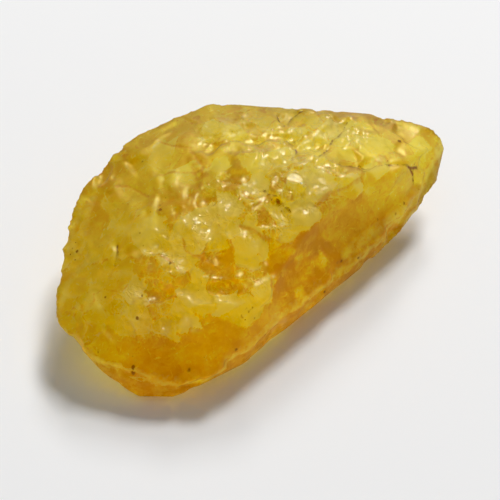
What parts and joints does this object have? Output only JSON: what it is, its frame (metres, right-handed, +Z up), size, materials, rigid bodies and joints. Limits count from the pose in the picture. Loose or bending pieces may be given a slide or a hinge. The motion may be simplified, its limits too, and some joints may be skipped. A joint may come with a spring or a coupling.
{
  "type": "rough sapphire",
  "caption": "Rough golden-yellow sapphire: a thick, pointed flake of translucent corundum with a chipped crown, for display or as a mineral specimen.",
  "frame": {"origin": "middle of the bounding box in plan, at the level of the flat break that the stone rests on", "axes": "+X along the stone towards its narrow tip, +Y towards its back, +Z up out of the chipped crown"},
  "size_m": [0.064, 0.0396, 0.0194],
  "materials": {
    "sapphire": "translucent golden corundum, glassy on fresh breaks and frosted on worn plates"
  },
  "bodies": {
    "root": {"sapphire": "sapphire"}
  },
  "joints": []
}
